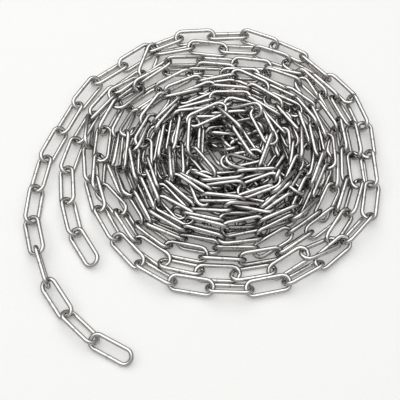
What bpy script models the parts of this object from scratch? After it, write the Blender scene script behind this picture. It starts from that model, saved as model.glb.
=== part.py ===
"""A loose coil of long-link steel chain lying on a floor. Metres, +Z up."""
import math

import bmesh
import bpy
from mathutils import Matrix, Vector

# Link: 3.6 mm round wire, 33 mm inside length, 16 mm outside width
WIRE = 0.0036
INNER_LENGTH = 0.033
LINK_WIDTH = 0.016
CROWN_RADIUS = (LINK_WIDTH - WIRE) / 2
HALF_STRAIGHT = (INNER_LENGTH + WIRE) / 2 - CROWN_RADIUS

# Loose links stop a little short of pulling tight; turn links just touch
LOOSE_STEP = 0.0315
TURN_STEP = 0.0330
FLOOR_GAP = 0.0001

# Joints of the outer strand in millimetres, from its free end once round
OUTER_JOINTS = [
    (-56, -146), (-85, -130), (-107, -108), (-125, -81), (-135, -51),
    (-142, -24), (-140, 8), (-135, 38), (-123, 68), (-110, 98),
    (-95, 123), (-72, 141), (-47, 161), (-20, 174), (11, 176),
    (42, 176), (70, 164), (96, 149), (118, 125), (137, 101),
    (146, 72), (147, 42), (148, 11), (142, -20), (120, -45),
    (96, -66), (67, -83), (36, -88), (5, -86), (-26, -80),
    (-51, -63), (-71, -39), (-86, -11), (-94, 18), (-97, 48),
]
# Lean of each outer link about its own length, in degrees
OUTER_LEANS = [
    -30, 35, -30, 84, -22, 40, -25, 36, -26, 36,
    -30, 36, -30, 36, -30, 56, -6, -66, 0, 62,
    -6, 54, -16, 54, -20, 46, -22, 40, -26, 40,
    -30, 36, -30, 34,
]
# Joints and leans of the second loose end
TAIL_JOINTS = [
    (-88, -62), (-105, -34), (-113, -4), (-116, 27), (-108, 58),
    (-95, 87), (-77, 113), (-54, 134),
]
TAIL_LEANS = [-30, 34, -28, 34, -28, 36, -28]

# Inner turns: the outer one from joint 12 on, brought round and scaled down
FIRST_ROUND_JOINT = 12
ROUND_CLOSING = [(-93, 78), (-82, 104), (-66, 124)]
COIL_CENTRE = (0.025, 0.044)
TURN_COUNT = 9
FIRST_SCALE = 0.892
SCALE_STEP = 0.088
SPIRAL_SHORTFALL = 0.015
STEEP = math.radians(60)
MOUND_HEIGHT = 0.021
MOUND_RADIUS = 0.112
CORE_RADIUS = 0.092
CORE_CLEARANCE = 0.0055


def clear_scene():
    for item in list(bpy.data.objects):
        bpy.data.objects.remove(item, do_unlink=True)


def steel(name, colour, roughness):
    material = bpy.data.materials.new(name)
    material.use_nodes = True
    shader = material.node_tree.nodes["Principled BSDF"]
    shader.inputs["Base Color"].default_value = (*colour, 1.0)
    shader.inputs["Metallic"].default_value = 1.0
    shader.inputs["Roughness"].default_value = roughness
    return material


def racetrack(crown_steps):
    """Centreline of the wire of one link, two crowns joined by straights."""
    points = []
    for side in (1, -1):
        for step in range(crown_steps + 1):
            angle = math.pi * (step / crown_steps - 0.5)
            across = CROWN_RADIUS * math.sin(angle) * side
            along = (HALF_STRAIGHT + CROWN_RADIUS * math.cos(angle)) * side
            points.append((along, across, 0.0))
    return points


def link_mesh(name, crown_steps, ring):
    """One link as a closed tube; ring 0 gives four sides, 1 gives six."""
    curve = bpy.data.curves.new(name, "CURVE")
    curve.dimensions = "3D"
    curve.bevel_depth = WIRE / 2
    curve.bevel_resolution = ring
    points = racetrack(crown_steps)
    spline = curve.splines.new("POLY")
    spline.points.add(len(points) - 1)
    for point, place in zip(spline.points, points):
        point.co = (*place, 1.0)
    spline.use_cyclic_u = True
    helper = bpy.data.objects.new(name, curve)
    bpy.context.scene.collection.objects.link(helper)
    bpy.context.view_layer.update()
    graph = bpy.context.evaluated_depsgraph_get()
    mesh = bpy.data.meshes.new_from_object(helper.evaluated_get(graph))
    bpy.data.objects.remove(helper, do_unlink=True)
    tidy = bmesh.new()
    tidy.from_mesh(mesh)
    bmesh.ops.remove_doubles(tidy, verts=tidy.verts, dist=0.00001)
    bmesh.ops.recalc_face_normals(tidy, faces=tidy.faces)
    tidy.to_mesh(mesh)
    tidy.free()
    return mesh


def smooth_line(points, parts=16):
    """Catmull-Rom curve through the points, as a dense list of vectors."""
    ends = [points[0] * 2 - points[1]] + points + [points[-1] * 2 - points[-2]]
    line = []
    for index in range(1, len(ends) - 2):
        before, start, stop, after = ends[index - 1:index + 3]
        for part in range(parts):
            t = part / parts
            line.append(0.5 * (
                2 * start + (stop - before) * t
                + (2 * before - 5 * start + 4 * stop - after) * t * t
                + (3 * start - 3 * stop + after - before) * t ** 3))
    line.append(points[-1].copy())
    return line


def pulled(route, longest):
    """Joints at the route's points, drawn in where a step is too long."""
    wanted = [Vector((x / 1000, y / 1000, 0.0)) for x, y in route]
    joints = [wanted[0]]
    for place in wanted[1:]:
        step = place - joints[-1]
        step.length = min(step.length, longest)
        joints.append(joints[-1] + step)
    return joints


def walk(line, step):
    """Joints along a dense line, each one straight step on from the last."""
    joints = [line[0].copy()]
    for start, stop in zip(line, line[1:]):
        while (stop - joints[-1]).length >= step:
            low, high = 0.0, 1.0
            for _ in range(30):
                middle = (low + high) / 2
                inside = (start.lerp(stop, middle) - joints[-1]).length < step
                low, high = (middle, high) if inside else (low, middle)
            joints.append(start.lerp(stop, high))
    return joints


def link_place(start, stop, roll):
    """Matrix that lays a link between two joints, turned about its length."""
    along = (stop - start).normalized()
    level = Vector((0, 0, 1)).cross(along).normalized()
    rise = along.cross(level)
    across = level * math.cos(roll) + rise * math.sin(roll)
    frame = Matrix((along, across, along.cross(across))).transposed()
    return Matrix.Translation((start + stop) / 2) @ frame.to_4x4()


def add_part(name, mesh, material):
    mesh.materials.clear()
    mesh.materials.append(material)
    for face in mesh.polygons:
        face.use_smooth = True
    part = bpy.data.objects.new(name, mesh)
    PARTS.objects.link(part)
    return part


def lying_height(roll):
    """Height of a link's long axis when its lower leg is on the floor."""
    return WIRE / 2 + CROWN_RADIUS * math.sin(abs(roll)) + FLOOR_GAP


def loose_links(stem, joints, leans, source, material):
    """Every link of a strand as its own part, resting on the floor."""
    rolls = [math.radians(lean) for lean in leans]
    heights = [lying_height(roll) for roll in rolls]
    for joint, before, after in zip(joints, heights[:1] + heights, heights + heights[-1:]):
        joint.z = max(before, after)
    for index, (start, stop) in enumerate(zip(joints, joints[1:])):
        mesh = source.copy()
        mesh.transform(link_place(start, stop, rolls[index]))
        add_part("%s_link_%02d" % (stem, index + 1), mesh, material)


def mound_height(place):
    reach = math.hypot(place.x - COIL_CENTRE[0], place.y - COIL_CENTRE[1])
    return MOUND_HEIGHT * max(0.0, 1 - (reach / MOUND_RADIUS) ** 2)


def turn_line(outer, scale, next_scale):
    """The outermost turn shrunk towards the coil's centre, as a spiral."""
    centre = Vector((*COIL_CENTRE, 0.0))
    line = []
    for index, place in enumerate(outer):
        share = index / (len(outer) - 1)
        size = scale + (next_scale - scale) * share
        line.append(centre + (place - centre) * size)
    return line


def joined_mesh(name, source, places):
    joined = bmesh.new()
    for place in places:
        mesh = source.copy()
        mesh.transform(place)
        joined.from_mesh(mesh)
        bpy.data.meshes.remove(mesh)
    mesh = bpy.data.meshes.new(name)
    joined.to_mesh(mesh)
    joined.free()
    return mesh


def keep_largest(mesh):
    """Drop the slivers that the union leaves inside a joint."""
    body = bmesh.new()
    body.from_mesh(mesh)
    left = set(body.verts)
    groups = []
    while left:
        group = {left.pop()}
        edge = list(group)
        while edge:
            vert = edge.pop()
            near = {link.other_vert(vert) for link in vert.link_edges}
            edge.extend(near - group)
            group |= near
        left -= group
        groups.append(group)
    groups.sort(key=len)
    loose = [vert for group in groups[:-1] for vert in group]
    bmesh.ops.delete(body, geom=loose, context="VERTS")
    body.to_mesh(mesh)
    body.free()


def fused_turn(name, line, source, material, lift):
    """One turn as one body: neighbouring links touch and are fused."""
    joints = walk(line, TURN_STEP)
    for joint in joints:
        joint.z = lift + mound_height(joint)
    places = []
    for index, (start, stop) in enumerate(zip(joints, joints[1:])):
        roll = STEEP if index % 2 else -STEEP
        places.append(link_place(start, stop, roll))
    mesh = joined_mesh(name, source, places[0::2])
    part = add_part(name, mesh, material)
    if len(places) > 1:
        helper = bpy.data.objects.new(
            name + "_b", joined_mesh(name + "_b", source, places[1::2]))
        bpy.context.scene.collection.objects.link(helper)
        union = part.modifiers.new("fuse", "BOOLEAN")
        union.operation = "UNION"
        union.solver = "EXACT"
        union.object = helper
        bpy.context.view_layer.update()
        graph = bpy.context.evaluated_depsgraph_get()
        fused = bpy.data.meshes.new_from_object(part.evaluated_get(graph))
        keep_largest(fused)
        part.modifiers.clear()
        part.data = fused
        bpy.data.objects.remove(helper, do_unlink=True)
    return part


def mound_core(material):
    """Plain rounded core that fills the space under the upper turns."""
    rings = 7
    sides = 32
    core = bmesh.new()
    loops = []
    for ring in range(rings):
        reach = CORE_RADIUS * math.cos(math.pi / 2 * ring / rings)
        height = MOUND_HEIGHT * (1 - (reach / MOUND_RADIUS) ** 2)
        height -= CORE_CLEARANCE
        loops.append([core.verts.new((
            COIL_CENTRE[0] + reach * math.cos(2 * math.pi * side / sides),
            COIL_CENTRE[1] + reach * math.sin(2 * math.pi * side / sides),
            height)) for side in range(sides)])
    foot = [core.verts.new((vert.co.x, vert.co.y, 0.0)) for vert in loops[0]]
    loops.insert(0, foot)
    for lower, upper in zip(loops, loops[1:]):
        for side in range(sides):
            after = (side + 1) % sides
            core.faces.new((lower[side], lower[after], upper[after], upper[side]))
    core.faces.new(loops[-1])
    core.faces.new(list(reversed(foot)))
    bmesh.ops.recalc_face_normals(core, faces=core.faces)
    mesh = bpy.data.meshes.new("hidden_core")
    core.to_mesh(mesh)
    core.free()
    return add_part("hidden_core", mesh, material)


def centre_on_floor(parts):
    """Origin in the middle of the footprint, lowest point at zero."""
    corners = [vert.co for part in parts for vert in part.data.vertices]
    shift = Vector((
        -(min(c.x for c in corners) + max(c.x for c in corners)) / 2,
        -(min(c.y for c in corners) + max(c.y for c in corners)) / 2,
        -min(c.z for c in corners)))
    for part in parts:
        part.data.transform(Matrix.Translation(shift))


clear_scene()
PARTS = bpy.data.collections.new("chain_coil")
bpy.context.scene.collection.children.link(PARTS)
bright = steel("polished_steel", (0.62, 0.61, 0.59), 0.22)
dull = steel("shaded_steel", (0.30, 0.30, 0.30), 0.5)

fine_link = link_mesh("fine_link", 5, 1)
plain_link = link_mesh("plain_link", 3, 0)

outer_joints = pulled(OUTER_JOINTS, LOOSE_STEP)
loose_links("outer", outer_joints, OUTER_LEANS, fine_link, bright)
loose_links("tail", pulled(TAIL_JOINTS, LOOSE_STEP), TAIL_LEANS, fine_link, bright)

round_points = [Vector((joint.x, joint.y, 0.0)) for joint in outer_joints[FIRST_ROUND_JOINT:]]
round_points += [Vector((x / 1000, y / 1000, 0.0)) for x, y in ROUND_CLOSING]
once_round = smooth_line(round_points)
for number in range(TURN_COUNT):
    scale = FIRST_SCALE - SCALE_STEP * number
    line = turn_line(once_round, scale, scale - SCALE_STEP + SPIRAL_SHORTFALL)
    fused_turn("turn_%02d" % (number + 2), line, plain_link, bright, lying_height(STEEP))
mound_core(dull)
centre_on_floor(list(PARTS.objects))
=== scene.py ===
"""A heap of bright steel chain, coiled by hand on a pale floor, with two loose ends."""
import math

import bmesh
import bpy
import numpy as np
from mathutils import Matrix, Vector


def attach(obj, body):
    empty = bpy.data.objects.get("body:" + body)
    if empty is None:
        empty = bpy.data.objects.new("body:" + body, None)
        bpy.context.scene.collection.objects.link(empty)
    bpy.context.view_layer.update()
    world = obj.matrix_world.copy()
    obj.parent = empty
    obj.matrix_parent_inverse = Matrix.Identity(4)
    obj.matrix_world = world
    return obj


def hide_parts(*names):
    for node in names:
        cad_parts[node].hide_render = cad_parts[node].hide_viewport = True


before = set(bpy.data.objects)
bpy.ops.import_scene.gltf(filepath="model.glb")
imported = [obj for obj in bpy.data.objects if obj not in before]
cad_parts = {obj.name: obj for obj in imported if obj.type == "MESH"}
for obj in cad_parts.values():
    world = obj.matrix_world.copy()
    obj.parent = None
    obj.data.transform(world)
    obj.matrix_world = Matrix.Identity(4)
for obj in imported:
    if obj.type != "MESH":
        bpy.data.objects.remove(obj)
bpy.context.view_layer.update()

# The camera looks down on the heap from the side where its loose ends lie,
# from about 0.8 m away. The coil's centre is a little right of and behind the
# point that it looks at.
LOOK_AT = Vector((-0.0032, -0.0158, 0.0))
LOOK_ELEVATION = math.radians(59.58)
LOOK_DISTANCE = 0.8214
camera_data = bpy.data.cameras.new("camera")
camera_data.sensor_width = 36.0
camera_data.lens = 86.0
camera_data.clip_start = 0.02
camera = bpy.data.objects.new("camera", camera_data)
camera.location = LOOK_AT + LOOK_DISTANCE * Vector(
    (0.0, -math.cos(LOOK_ELEVATION), math.sin(LOOK_ELEVATION)))
camera.rotation_euler = (math.pi / 2 - LOOK_ELEVATION, 0.0, 0.0)
bpy.context.scene.collection.objects.link(camera)
bpy.context.scene.camera = camera


class Sock:
    """One shader socket, so that sums on sockets add their Math nodes."""

    def __init__(self, tree, socket):
        self.tree = tree
        self.socket = socket

    def node(self, kind, settings=None, **values):
        made = self.tree.nodes.new(kind)
        for name, value in (settings or {}).items():
            if name == "stops":
                ramp_stops(made.color_ramp, value)
            else:
                setattr(made, name, value)
        for name, value in values.items():
            numbered = name[0] == "i" and name[1:].isdigit()
            target = made.inputs[int(name[1:]) if numbered else name.replace("_", " ")]
            if isinstance(value, Sock):
                self.tree.links.new(value.socket, target)
            else:
                target.default_value = value
        return made

    def get(self, kind, output=0, settings=None, **values):
        return Sock(self.tree, self.node(kind, settings, **values).outputs[output])

    def math(self, operation, other):
        return self.get("ShaderNodeMath", 0, {"operation": operation}, i0=self, i1=other)

    def __add__(self, other):
        return self.math("ADD", other)

    def __mul__(self, other):
        return self.math("MULTIPLY", other)

    __radd__ = __add__


def ramp_stops(ramp, stops):
    while len(ramp.elements) > 1:
        ramp.elements.remove(ramp.elements[-1])
    ramp.elements[0].position = stops[0][0]
    ramp.elements[0].color = (*stops[0][1], 1.0)
    for position, colour in stops[1:]:
        ramp.elements.new(position).color = (*colour, 1.0)


def new_material(name, roughness=0.5, metallic=0.0):
    """A material with its shader, and a first socket to write sums on."""
    material = bpy.data.materials.new(name)
    material.use_nodes = True
    shader = material.node_tree.nodes["Principled BSDF"]
    shader.inputs["Roughness"].default_value = roughness
    shader.inputs["Metallic"].default_value = metallic
    start = Sock(material.node_tree, None)
    place = start.get("ShaderNodeTexCoord", "Object")
    return material, shader, place


# The floor is a sheet of white opal board, lit a little from below, under one
# large soft light. The room round it is darker, which gives the wire grey edges.
FLOOR_SIZE = 14.0
FLOOR_GLOW = 0.335
GAMMA = 0.62
board, board_shader, board_place = new_material("white_board", roughness=0.75)
grain = board_place.get("ShaderNodeTexNoise", "Fac", Scale=900.0, Detail=3.0, Vector=board_place)
tone = grain.get("ShaderNodeValToRGB", "Color", {"stops": [
    (0.3, (0.56, 0.56, 0.55)), (0.7, (0.59, 0.59, 0.58))]}, Fac=grain)
board.node_tree.links.new(tone.socket, board_shader.inputs["Base Color"])
board_shader.inputs["Emission Color"].default_value = (1.0, 1.0, 0.99, 1.0)
board_shader.inputs["Emission Strength"].default_value = FLOOR_GLOW
floor_mesh = bpy.data.meshes.new("floor")
floor_bm = bmesh.new()
bmesh.ops.create_grid(floor_bm, x_segments=1, y_segments=1, size=FLOOR_SIZE / 2)
floor_bm.to_mesh(floor_mesh)
floor_bm.free()
floor_mesh.materials.append(board)
floor = bpy.data.objects.new("floor", floor_mesh)
bpy.context.scene.collection.objects.link(floor)
bpy.context.scene.view_settings.view_transform = "Standard"
bpy.context.scene.view_settings.gamma = GAMMA

LIGHT_PLACE = Vector((-0.25, 0.35, 1.5))
LIGHT_AIM = Vector((0.02, 0.03, 0.0))
LIGHT_WIDTH = 3.2
LIGHT_WATTS = 19.0
ROOM_STRENGTH = 0.75
light_data = bpy.data.lights.new("overhead_light", "AREA")
light_data.shape = "DISK"
light_data.size = LIGHT_WIDTH
light_data.energy = LIGHT_WATTS
light = bpy.data.objects.new("overhead_light", light_data)
light.location = LIGHT_PLACE
light.rotation_euler = (LIGHT_AIM - LIGHT_PLACE).to_track_quat("-Z", "Y").to_euler()
bpy.context.scene.collection.objects.link(light)
world = bpy.data.worlds.new("room")
world.use_nodes = True
bpy.context.scene.world = world
sky = Sock(world.node_tree, None)
height = sky.get("ShaderNodeSeparateXYZ", "Z", Vector=sky.get("ShaderNodeTexCoord", "Generated"))
shade = height.get("ShaderNodeValToRGB", "Color", {"stops": [
    (0.0, (0.1, 0.1, 0.1)), (0.15, (0.4, 0.4, 0.4)), (0.5, (0.85, 0.85, 0.85)),
    (0.8, (1.1, 1.1, 1.1))]}, Fac=height)
world.node_tree.links.new(
    shade.socket, world.node_tree.nodes["Background"].inputs["Color"])
world.node_tree.nodes["Background"].inputs["Strength"].default_value = ROOM_STRENGTH

# Loose links, outermost turn and both free ends: each is cut from drawn
# stainless wire, bent round, and butt-welded in the middle of one leg, after it
# is threaded through the link before it.
WIRE = 0.0036
INSIDE_LENGTH = 0.033
OUTSIDE_WIDTH = 0.016
LOOSE_FACES = (8, 12)  # steps round a crown, sides of the wire
MERGE_WITHIN = 0.0001
WELD_CORE, WELD_EDGE = 0.4, 1.8  # squared distances from its middle, mm2


def input_socket(tree, name, kind, value):
    socket = tree.interface.new_socket(name, in_out="INPUT", socket_type=kind)
    if kind != "NodeSocketGeometry" and kind != "NodeSocketMaterial":
        socket.default_value = value
    return socket


def link_tree():
    """Links of bent wire, one on each point, turned by the point's attribute."""
    tree = bpy.data.node_groups.new("bent_wire_links", "GeometryNodeTree")
    input_socket(tree, "Geometry", "NodeSocketGeometry", None)
    input_socket(tree, "Wire", "NodeSocketFloat", WIRE)
    input_socket(tree, "Inside Length", "NodeSocketFloat", INSIDE_LENGTH)
    input_socket(tree, "Outside Width", "NodeSocketFloat", OUTSIDE_WIDTH)
    input_socket(tree, "Crown Steps", "NodeSocketInt", 5)
    input_socket(tree, "Wire Sides", "NodeSocketInt", 8)
    input_socket(tree, "Steel", "NodeSocketMaterial", None)
    tree.interface.new_socket("Geometry", in_out="OUTPUT", socket_type="NodeSocketGeometry")
    nodes = tree.nodes
    links = tree.links
    given = nodes.new("NodeGroupInput").outputs

    def calc(operation, first, second):
        node = nodes.new("ShaderNodeMath")
        node.operation = operation
        for socket, value in zip(node.inputs, (first, second)):
            if isinstance(value, float):
                socket.default_value = value
            else:
                links.new(value, socket)
        return node.outputs[0]

    track = nodes.new("GeometryNodeCurvePrimitiveQuadrilateral")
    links.new(calc("ADD", given["Inside Length"], given["Wire"]), track.inputs["Width"])
    across = calc("SUBTRACT", given["Outside Width"], given["Wire"])
    links.new(across, track.inputs["Height"])
    round_ends = nodes.new("GeometryNodeFilletCurve")
    round_ends.mode = "POLY"
    links.new(track.outputs[0], round_ends.inputs["Curve"])
    links.new(calc("MULTIPLY", across, 0.499), round_ends.inputs["Radius"])
    links.new(given["Crown Steps"], round_ends.inputs["Count"])
    section = nodes.new("GeometryNodeCurvePrimitiveCircle")
    links.new(given["Wire Sides"], section.inputs["Resolution"])
    links.new(calc("MULTIPLY", given["Wire"], 0.5), section.inputs["Radius"])
    sweep = nodes.new("GeometryNodeCurveToMesh")
    links.new(round_ends.outputs[0], sweep.inputs["Curve"])
    links.new(section.outputs[0], sweep.inputs["Profile Curve"])
    joined = nodes.new("GeometryNodeMergeByDistance")
    joined.inputs["Distance"].default_value = MERGE_WITHIN
    links.new(sweep.outputs[0], joined.inputs["Geometry"])
    marked = nodes.new("GeometryNodeStoreNamedAttribute")
    marked.data_type = "FLOAT_VECTOR"
    marked.inputs["Name"].default_value = "in_link"
    links.new(joined.outputs[0], marked.inputs["Geometry"])
    links.new(nodes.new("GeometryNodeInputPosition").outputs[0], marked.inputs["Value"])
    turned = nodes.new("GeometryNodeInputNamedAttribute")
    turned.data_type = "QUATERNION"
    turned.inputs["Name"].default_value = "turned"
    put = nodes.new("GeometryNodeInstanceOnPoints")
    links.new(given["Geometry"], put.inputs["Points"])
    links.new(marked.outputs[0], put.inputs["Instance"])
    links.new(turned.outputs[0], put.inputs["Rotation"])
    real = nodes.new("GeometryNodeRealizeInstances")
    links.new(put.outputs[0], real.inputs[0])
    smooth = nodes.new("GeometryNodeSetShadeSmooth")
    links.new(real.outputs[0], smooth.inputs[0])
    coat = nodes.new("GeometryNodeSetMaterial")
    links.new(smooth.outputs[0], coat.inputs[0])
    links.new(given["Steel"], coat.inputs["Material"])
    links.new(coat.outputs[0], nodes.new("NodeGroupOutput").inputs[0])
    return tree


steel, steel_shader, steel_place = new_material("bright_drawn_steel", metallic=1.0)
in_link = steel_place.get("ShaderNodeAttribute", "Vector", {"attribute_name": "in_link"})
lines_of = in_link.get("ShaderNodeVectorMath", 0, {"operation": "MULTIPLY"},
                       i0=in_link, i1=(0.06, 1.0, 1.0))
broad = steel_place.get("ShaderNodeTexNoise", "Fac", Scale=60.0, Detail=2.0, Vector=steel_place)
drawn = lines_of.get("ShaderNodeTexNoise", "Fac", Scale=1800.0, Detail=3.0, Vector=lines_of)
along = in_link.get("ShaderNodeSeparateXYZ", "X", Vector=in_link)
across = in_link.get("ShaderNodeSeparateXYZ", "Y", Vector=in_link)
from_weld = along * along * 1e6
weld = from_weld.get("ShaderNodeMapRange", "Result", Value=from_weld,
                     From_Min=WELD_CORE, From_Max=WELD_EDGE, To_Min=1.0, To_Max=0.0)
weld = weld * across.get("ShaderNodeMapRange", "Result", Value=across,
                         From_Min=0.0, From_Max=0.001)
steel_colour = broad.get("ShaderNodeValToRGB", "Color", {"stops": [
    (0.3, (0.70, 0.69, 0.676)), (0.7, (0.77, 0.758, 0.743))]}, Fac=broad)
welded_colour = steel_colour.get("ShaderNodeMix", 2, {"data_type": "RGBA"}, i0=weld * 0.35,
                                 i6=steel_colour, i7=(0.44, 0.42, 0.39, 1.0))
steel.node_tree.links.new(welded_colour.socket, steel_shader.inputs["Base Color"])
dulled = 0.15 + broad * 0.10 + drawn * 0.06 + weld * 0.1
steel.node_tree.links.new(dulled.socket, steel_shader.inputs["Roughness"])
surface = drawn.get("ShaderNodeBump", "Normal", Strength=0.08, Distance=0.0004,
                    Height=drawn * 0.5 + broad * 2.0 + weld * 0.5)
steel.node_tree.links.new(surface.socket, steel_shader.inputs["Normal"])
steel_shader.inputs["Specular Tint"].default_value = (0.1, 0.1, 0.1, 1.0)

LINKS = link_tree()


def bent_links(name, centres, turns, faces):
    """A plain mesh of links at the given centres and turns (w, x, y, z)."""
    mesh = bpy.data.meshes.new(name)
    mesh.from_pydata([tuple(c) for c in centres], [], [])
    turned = mesh.attributes.new("turned", "QUATERNION", "POINT")
    turned.data.foreach_set("value", np.asarray(turns, np.float32).ravel())
    maker = bpy.data.objects.new(name, mesh)
    bpy.context.scene.collection.objects.link(maker)
    nodes = maker.modifiers.new("links", "NODES")
    nodes.node_group = LINKS
    sizes = {"Wire": WIRE, "Inside Length": INSIDE_LENGTH, "Outside Width": OUTSIDE_WIDTH,
             "Crown Steps": faces[0], "Wire Sides": faces[1], "Steel": steel}
    for item in LINKS.interface.items_tree:
        if item.in_out == "INPUT" and item.name in sizes:
            nodes[item.identifier] = sizes[item.name]
    bpy.context.view_layer.update()
    graph = bpy.context.evaluated_depsgraph_get()
    made = bpy.data.meshes.new_from_object(maker.evaluated_get(graph))
    maker.modifiers.remove(nodes)
    maker.data = made
    made.name = name
    return maker


def lie_of(node):
    """Centre and turn of a packed link, from the spread of its corners."""
    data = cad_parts[node].data
    corners = np.empty(len(data.vertices) * 3)
    data.vertices.foreach_get("co", corners)
    corners = np.unique(np.round(corners.reshape(-1, 3), 6), axis=0)
    centre = corners.mean(axis=0)
    _, _, axes = np.linalg.svd(corners - centre, full_matrices=False)
    along, across = axes[0], axes[1]
    frame_axes = Matrix((along, across, np.cross(along, across))).transposed()
    return centre, frame_axes.to_quaternion()


loose_names = sorted(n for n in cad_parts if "_link_" in n)
for node_name in loose_names:
    centre, turn = lie_of(node_name)
    loose = bent_links(node_name.replace("link", "ring"), [centre], [tuple(turn)], LOOSE_FACES)
    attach(loose, "root")
    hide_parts(node_name)

# The coil: one length of the same chain, laid by hand in two strands side by
# side over a first layer on the floor. Joints are marked in millimetres where the
# line of sight through them meets the floor, and then by their height.
PULLED_STEP = 31.4
PILED_FACES = (3, 8)
EYE = np.array(camera.location) * 1000
MIDDLE = np.array([23.0, 34.0])
ROWS_BEHIND = [131, 118, 108, 99, 89, 81, 73, 66, 59, 52, 47, 41]
ROWS_RIGHT = [121, 113, 105, 97, 89, 81, 74, 68, 62, 55, 48, 40]
ROWS_FRONT = [134, 121, 107, 96, 86, 78, 70, 62, 55, 48, 42, 37]
ROWS_LEFT = [123, 114, 104, 95, 87, 80, 72, 65, 58, 50, 44, 38]
ROW_HEIGHTS = [5, 8, 11, 15, 19, 22, 24, 25, 25, 24, 22, 19]
SECOND_STRAND = [
    (-40, 148), (-7, 155), (23, 153), (55, 144), (79, 133), (103, 113), (122, 90),
    (132, 57), (137, 27), (134, 0), (125, -31), (107, -55), (81, -70), (56, -85),
    (30, -88), (7, -88), (-20, -84), (-39, -71), (-61, -48), (-77, -22), (-90, 6),
    (-94, 39), (-88, 70), (-73, 93), (-52, 113), (-26, 126)]
FIRST_STRAND = [(-98, 70), (-81, 96), (-59, 118), (-33, 135)]
LOW_PIT = [
    (-20, 24, 16), (0, 4, 14), (30, -2, 13), (55, 20, 12), (48, 52, 12), (18, 62, 11),
    (-6, 46, 10)]
TANGLE = [
    (51, 76, 30), (57, 45, 27), (53, 15, 26), (23, 12, 27), (46, 27, 27), (31, 55, 26),
    (17, 77, 28), (-12, 66, 29), (-9, 36, 26), (-1, 6, 26), (30, 3, 28), (60, 11, 27),
    (84, -7, 26), (58, -24, 27), (29, -20, 28), (0, -16, 27), (-17, 8, 25), (9, -6, 21),
    (37, -7, 19), (19, 17, 18), (6, 46, 17), (34, 33, 18), (9, 52, 17), (36, 38, 16),
    (12, 57, 15), (30, 34, 15), (52, 54, 14), (33, 77, 13),
    (9, 61, 13), (-16, 55, 13), (-10, 25, 12), (9, 6, 11), (35, 8, 10)]
TANGLE_TURNS = [20, 80, 55, -30, 60, -50, 50, -60, 60, -60, 65, -60, 15, 70] + [-65, 50] * 9
TOP_LOOPS = 16
TOP_LOOP_GIVE = 0.12
FIRST_LAYER_HOLD = 0.6
LEANS = np.array([45, 50, 36, 40, 46, 54, 60, 62, 62, 62, 60])
SPREADS = np.array([20, 10, 14, 16, 16, 18, 18, 18, 20, 20, 20])


def lifted(marks, heights):
    """Points at these heights on the lines of sight through floor marks."""
    marks = np.asarray(marks, float)
    share = (np.asarray(heights, float) / EYE[2])[:, None]
    return marks + (EYE - marks) * share


def on_floor(points):
    """Floor marks under the lines of sight through these points."""
    share = points[:, 2] / (EYE[2] - points[:, 2])
    return points + (points - EYE) * share[:, None]


def marked(route, height=None):
    """Joints of a route of (x, y) at one height, or of (x, y, height)."""
    marks = np.array([(place[0], place[1], 0.0) for place in route])
    heights = [place[2] if height is None else height for place in route]
    return lifted(marks, heights)


def rounded(knots, parts):
    """Catmull-Rom line through the knots, as many parts between each two."""
    knots = np.asarray(knots, float)
    ends = np.vstack([2 * knots[:1] - knots[1:2], knots, 2 * knots[-1:] - knots[-2:-1]])
    share = (np.arange(parts) / parts)[:, None]
    line = []
    for before, start, stop, after in zip(ends, ends[1:], ends[2:], ends[3:]):
        line.append(0.5 * (
            2 * start + (stop - before) * share
            + (2 * before - 5 * start + 4 * stop - after) * share ** 2
            + (3 * start - 3 * stop + after - before) * share ** 3))
    return np.vstack(line + [knots[-1:]])


def inward_spiral(rows, quarters):
    """A strand that comes round clockwise, from one of its rows to the next."""
    knots = []
    for quarter in range(quarters):
        row = rows[quarter // 4]
        side = (ROWS_BEHIND, ROWS_RIGHT, ROWS_FRONT, ROWS_LEFT)[quarter % 4]
        knots.append((side[row], ROW_HEIGHTS[row] + quarter % 4 * 0.5))
    line = rounded(knots, 8)[3:]
    angle = math.pi / 2 - (np.arange(len(line)) + 3) / 8 * math.pi / 2
    marks = np.stack([MIDDLE[0] + line[:, 0] * np.cos(angle),
                      MIDDLE[1] + line[:, 0] * np.sin(angle), 0 * angle], 1)
    return lifted(marks, line[:, 1])


def first_layer(inner, outer, turns):
    """Part of the layer on the floor, as a flat spiral that opens outwards."""
    share = np.linspace(0, 1, int(turns * 24))
    reach = inner + (outer - inner) * share
    angle = 0.3 - 2 * math.pi * turns * share
    marks = np.stack([MIDDLE[0] + reach * np.cos(angle),
                      MIDDLE[1] - 3 + reach * np.sin(angle), 0 * angle], 1)
    return lifted(marks, np.full(len(share), 6.0))


def pulled_joints(line, step):
    """Joints along a dense line, each one straight step from the last."""
    joints = [line[0]]
    for start, stop in zip(line, line[1:]):
        while np.linalg.norm(stop - joints[-1]) >= step:
            low, high = 0.0, 1.0
            for _ in range(30):
                middle = (low + high) / 2
                if np.linalg.norm(start + (stop - start) * middle - joints[-1]) < step:
                    low = middle
                else:
                    high = middle
            joints.append(start + (stop - start) * high)
    return np.array(joints)


def laid_links(joints, leans):
    """Centres and axes (rows along, across, through) of links between joints."""
    along = joints[1:] - joints[:-1]
    along /= np.linalg.norm(along, axis=1)[:, None]
    level = np.cross([0.0, 0.0, 1.0], along)
    level /= np.linalg.norm(level, axis=1)[:, None]
    rise = np.cross(along, level)
    leans = np.radians(leans)[:, None]
    across = level * np.cos(leans) + rise * np.sin(leans)
    axes = np.stack([along, across, np.cross(along, across)], 1)
    return (joints[:-1] + joints[1:]) / 2, axes


dice = np.random.RandomState(11)


def swung(amounts, spread):
    """Leans that go left and right by turns, none quite like the last."""
    sides = np.where(np.arange(len(amounts)) % 2, -1.0, 1.0)
    return sides * amounts + dice.uniform(-spread, spread, len(amounts))


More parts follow.
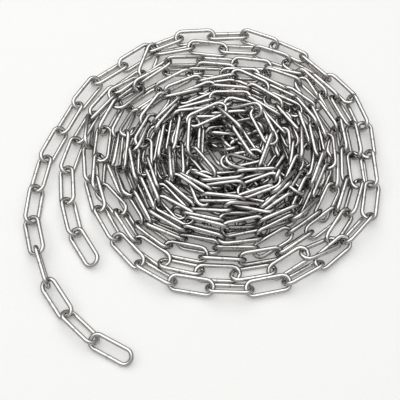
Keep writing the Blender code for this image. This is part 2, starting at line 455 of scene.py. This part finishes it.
class Pile:
    """Links as rigid loops of wire, let down until they lie on each other.

    Nothing here keeps neighbours threaded or other links out of each other's eyes.
    """

    WIRE_MM = WIRE * 1000
    CROWN = (OUTSIDE_WIDTH - WIRE) * 500
    STRAIGHT = (INSIDE_LENGTH + WIRE) * 500 - (OUTSIDE_WIDTH - WIRE) * 500
    EASE = np.array([1 / 32.0, 1 / 150.0, 1 / 180.0])
    CROWN_CORNERS = 5
    BULGE = 1.02
    LONGEST_SPAN = 45.0
    NEAR_MARGIN = 1.5
    DEEPEST = 1.2
    SOFTENING = 0.4
    KEPT_SPEED = 0.8
    MOST_MOVE = 0.9
    MOST_TURN = 0.08
    DRAWN_BACK = 0.05
    LOOK_EVERY = 6

    def __init__(self, centres, axes, free, hold):
        self.centres = centres.copy()
        self.axes = axes.copy()
        self.free = free
        self.marks = on_floor(centres)
        self.hold = hold
        self.count = len(centres)
        self.wire = self.WIRE_MM
        self.carry = np.zeros((self.count, 6))
        loop = []
        for side in (1, -1):
            for step in range(self.CROWN_CORNERS):
                angle = math.pi * (step / (self.CROWN_CORNERS - 1) - 0.5)
                loop.append((side * (self.STRAIGHT + self.BULGE * self.CROWN * math.cos(angle)),
                             side * self.CROWN * math.sin(angle), 0.0))
        self.loop = np.array(loop)
        self.sides = len(loop)
        self.reach = np.linalg.norm(np.roll(self.loop, -1, 0) - self.loop, axis=1) / 2

    def corners(self):
        return self.centres[:, None, :] + self.loop @ self.axes

    def find_near(self):
        """Pairs of wire pieces, of different links, that may soon touch."""
        corners = self.corners()
        middles = ((corners + np.roll(corners, -1, 1)) / 2).reshape(-1, 3)
        reach = np.tile(self.reach, self.count)
        span = ((self.centres[:, None] - self.centres[None]) ** 2).sum(-1)
        first, second = np.nonzero(np.triu(span < self.LONGEST_SPAN ** 2, 1))
        loose = self.free[first] + self.free[second] > 0
        first, second = first[loose], second[loose]
        each = np.arange(self.sides)
        one = (first[:, None] * self.sides + np.repeat(each, self.sides)).ravel()
        two = (second[:, None] * self.sides + np.tile(each, self.sides)).ravel()
        gap = ((middles[one] - middles[two]) ** 2).sum(1)
        near = gap < (reach[one] + reach[two] + self.WIRE_MM + self.NEAR_MARGIN) ** 2
        self.one, self.two = one[near], two[near]

    def closest(self, start_one, run_one, start_two, run_two):
        """Shares along two straight pieces where they pass closest."""
        between = start_one - start_two
        a = (run_one * run_one).sum(1)
        e = (run_two * run_two).sum(1)
        f = (run_two * between).sum(1)
        c = (run_one * between).sum(1)
        b = (run_one * run_two).sum(1)
        spread = a * e - b * b
        share = np.clip((b * f - c * e) / np.maximum(spread, 1e-9), 0, 1)
        share = np.where(spread > 1e-9, share, 0.5)
        other = (b * share + f) / e
        kept = np.clip(other, 0, 1)
        share = np.where(other != kept, np.clip((b * kept - c) / a, 0, 1), share)
        return share, kept

    def total(self, index, values):
        return np.stack([np.bincount(index, weights=values[:, k], minlength=self.count)
                         for k in range(3)], 1)

    def part(self):
        """Move and turn links a little, out of each other and off the floor."""
        corners = self.corners()
        starts = corners.reshape(-1, 3)
        runs = (np.roll(corners, -1, 1) - corners).reshape(-1, 3)
        one, two = self.one, self.two
        share, other = self.closest(starts[one], runs[one], starts[two], runs[two])
        on_one = starts[one] + share[:, None] * runs[one]
        on_two = starts[two] + other[:, None] * runs[two]
        apart = on_one - on_two
        distance = np.linalg.norm(apart, axis=1)
        hit = distance < self.wire
        push = apart[hit] / np.maximum(distance[hit], 1e-6)[:, None]
        depth = np.minimum(self.wire - distance[hit], self.DEEPEST)
        first, second = one[hit] // self.sides, two[hit] // self.sides
        ease = np.einsum("nki,k,nkj->nij", self.axes, self.EASE, self.axes)
        ease *= self.free[:, None, None]
        arm_one = np.cross(on_one[hit] - push * self.wire / 2 - self.centres[first], push)
        arm_two = np.cross(on_two[hit] + push * self.wire / 2 - self.centres[second], push)
        turn_one = np.einsum("nij,nj->ni", ease[first], arm_one)
        turn_two = np.einsum("nij,nj->ni", ease[second], arm_two)
        give = (self.free[first] + self.free[second]
                + (arm_one * turn_one).sum(1) + (arm_two * turn_two).sum(1))
        amount = (depth / np.maximum(give, 1e-9))[:, None]
        shift = self.total(first, amount * push * self.free[first][:, None])
        shift -= self.total(second, amount * push * self.free[second][:, None])
        turn = self.total(first, amount * turn_one) - self.total(second, amount * turn_two)
        touches = np.bincount(first, minlength=self.count) * 1.0
        touches += np.bincount(second, minlength=self.count)
        sunk = self.wire / 2 - corners[:, :, 2]
        link, corner = np.nonzero((sunk > 0) & (self.free[:, None] > 0))
        up = np.tile([0.0, 0.0, 1.0], (len(link), 1))
        arm = np.cross(corners[link, corner] - self.centres[link], up)
        lever = np.einsum("nij,nj->ni", ease[link], arm)
        amount = (sunk[link, corner] / (1 + (arm * lever).sum(1)))[:, None]
        shift += self.total(link, amount * up)
        turn += self.total(link, amount * lever)
        touches += np.bincount(link, minlength=self.count)
        soften = (1 / np.maximum(touches, 1) ** self.SOFTENING)[:, None]
        self.carry = self.KEPT_SPEED * self.carry + np.hstack([shift * soften, turn * soften])
        self.nudge(self.carry[:, :3], self.carry[:, 3:])

    def nudge(self, shift, turn):
        length = np.linalg.norm(shift, axis=1)[:, None]
        self.centres += shift * np.minimum(1, self.MOST_MOVE / np.maximum(length, 1e-9))
        angle = np.linalg.norm(turn, axis=1)[:, None]
        axis = (turn / np.maximum(angle, 1e-12))[:, None, :]
        angle = np.minimum(angle, self.MOST_TURN)[:, :, None]
        along = (self.axes * axis).sum(-1, keepdims=True)
        side = np.cross(np.broadcast_to(axis, self.axes.shape), self.axes)
        self.axes = (self.axes * np.cos(angle) + side * np.sin(angle)
                     + axis * along * (1 - np.cos(angle)))

    def let_down(self, steps, falls, thin, grown):
        """Lower the links step by step; the wire starts thin and fills out."""
        for step in range(steps):
            done = step / steps
            self.wire = thin + (self.WIRE_MM - thin) * min(1.0, done / grown)
            self.centres[:, 2] -= (falls[0] + (falls[1] - falls[0]) * done) * self.free
            wanted = lifted(self.marks, self.centres[:, 2])
            back = (wanted - self.centres)[:, :2]
            self.centres[:, :2] += back * (self.DRAWN_BACK * self.hold * self.free)[:, None]
            if step % self.LOOK_EVERY == 0:
                self.find_near()
            for _ in range(3):
                self.part()

    def settle(self, steps):
        self.wire = self.WIRE_MM
        for step in range(steps):
            if step % self.LOOK_EVERY == 0:
                self.find_near()
            self.part()
        sunk = self.wire / 2 - self.corners()[:, :, 2].min(axis=1)
        self.centres[:, 2] += np.maximum(sunk, 0.0) * (self.free > 0)


def bare_lie(node):
    centre, turn = lie_of(node)
    return centre * 1000, np.array(turn.to_matrix().transposed())


def far_joint(before, last):
    """Joint at the far end of the last loose link of a strand."""
    centre, axes = bare_lie(last)
    ends = [centre + axes[0] * PULLED_STEP / 2, centre - axes[0] * PULLED_STEP / 2]
    return max(ends, key=lambda end: np.linalg.norm(end - bare_lie(before)[0]))


def fitted_run(parts, step):
    """Joints of a run of chain through its parts, and the turn of each link."""
    line = rounded(np.vstack([points for points, _ in parts]), 4)
    numbers = np.repeat(np.concatenate([turns for _, turns in parts]), 4)
    for span in (0.3, 0.03, 0.004):
        tries = step + np.linspace(-span, span, 11)
        short = [np.linalg.norm(line[-1] - pulled_joints(line, each)[-1]) for each in tries]
        step = tries[int(np.argmin(short))]
    joints = pulled_joints(line, step)
    joints[-10:] += (line[-1] - joints[-1]) * np.linspace(0.1, 1.0, 10)[:, None]
    middles = (joints[1:] + joints[:-1]) / 2
    return joints, [numbers[((line - middle) ** 2).sum(1).argmin()] for middle in middles]


def spiral_turns(rows, count):
    """Number of the turn at each point of a strand that follows these rows."""
    turn_of_row = [1, 2, 3, 4, 5, 5, 6, 7, 7, 8, 8, 9]
    return [turn_of_row[rows[min((place + 3) // 32, len(rows) - 1)]] for place in range(count)]


def route(points, turn):
    return points, [turn] * len(points)


def faced_links(joints, turns):
    """Links between joints, each turned this far from facing the camera."""
    along = joints[1:] - joints[:-1]
    along /= np.linalg.norm(along, axis=1)[:, None]
    middles = (joints[1:] + joints[:-1]) / 2
    level = np.cross(EYE - middles, along)
    level /= np.linalg.norm(level, axis=1)[:, None]
    turns = np.radians(turns)[:, None]
    across = level * np.cos(turns) + np.cross(along, level) * np.sin(turns)
    return middles, np.stack([along, across, np.cross(along, across)], 1)


# The whole chain: from the outer loose end in to the middle, out and back along
# the first layer, up through the tangle, and out again to the other loose end.
outer_names = [name for name in loose_names if name.startswith("outer")]
tail_names = [name for name in loose_names if name.startswith("tail")]
first_spiral = inward_spiral([2, 4, 6, 8, 10], 20)
second_spiral = inward_spiral([3, 5, 7, 9, 11], 17)
first_joints, first_turns = fitted_run([
    route(far_joint(outer_names[-2], outer_names[-1])[None], 3),
    route(marked(FIRST_STRAND, 6), 3),
    (first_spiral, spiral_turns([2, 4, 6, 8, 10], len(first_spiral))),
    route(marked(LOW_PIT), 10),
    route(first_layer(32, 90, 2.6), 0),
    route(first_layer(26, 84, 2.6)[::-1], 0),
    route(marked(TANGLE[-1:]), 10)], 31.2)
second_joints, second_turns = fitted_run([
    route(far_joint(tail_names[-2], tail_names[-1])[None], 2),
    route(marked(SECOND_STRAND, 7), 2),
    (second_spiral, spiral_turns([3, 5, 7, 9, 11], len(second_spiral))),
    route(marked(TANGLE[:1]), 9)], 30.4)
tangle_joints = marked(TANGLE)
tangle_middles = (tangle_joints[1:] + tangle_joints[:-1])[:, :2] / 2
tangle_turns = np.where(np.linalg.norm(tangle_middles - MIDDLE, axis=1) > 30, 9, 10)
lies = [bare_lie(name) for name in loose_names]
laid = [(np.array([centre for centre, _ in lies]), np.array([turned for _, turned in lies])),
        laid_links(first_joints, swung(LEANS[first_turns], SPREADS[first_turns])),
        laid_links(second_joints, swung(LEANS[second_turns], SPREADS[second_turns])),
        faced_links(tangle_joints, TANGLE_TURNS)]
turn_of = np.concatenate([[-1] * len(lies), first_turns, second_turns, tangle_turns])
hold = np.where(turn_of == 0, FIRST_LAYER_HOLD, 1.0)
free = np.where(turn_of < 0, 0.0, 1.0)
top_loops = len(free) - len(TANGLE_TURNS)
free[top_loops:top_loops + TOP_LOOPS] = TOP_LOOP_GIVE
pile = Pile(np.vstack([centres for centres, _ in laid]),
            np.concatenate([axes for _, axes in laid]), free, hold)
pile.let_down(200, (0.2, 0.06), 1.6, 0.5)
pile.settle(100)


def piled_links(name, turn, node):
    """The settled links of one turn, as the piece that takes a node's place."""
    chosen = turn_of == turn
    lie = [tuple(Matrix(axes.tolist()).transposed().to_quaternion())
           for axes in pile.axes[chosen]]
    piece = bent_links(name, pile.centres[chosen] / 1000, lie, PILED_FACES)
    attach(piece, "root")
    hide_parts(node)


# Under layer: links of the same wire, flat on the floor below the turns, where
# the chain was first let out from the middle and taken back. It lies loose.
piled_links("under_layer", 0, "hidden_core")

# Turns of the mound, from the outside inwards, each leaning on the one before;
# the last two are the tangle in the middle. All lie loose under their own weight.
for turn in range(2, 11):
    piled_links("laid_turn_%02d" % turn, turn, "turn_%02d" % turn)
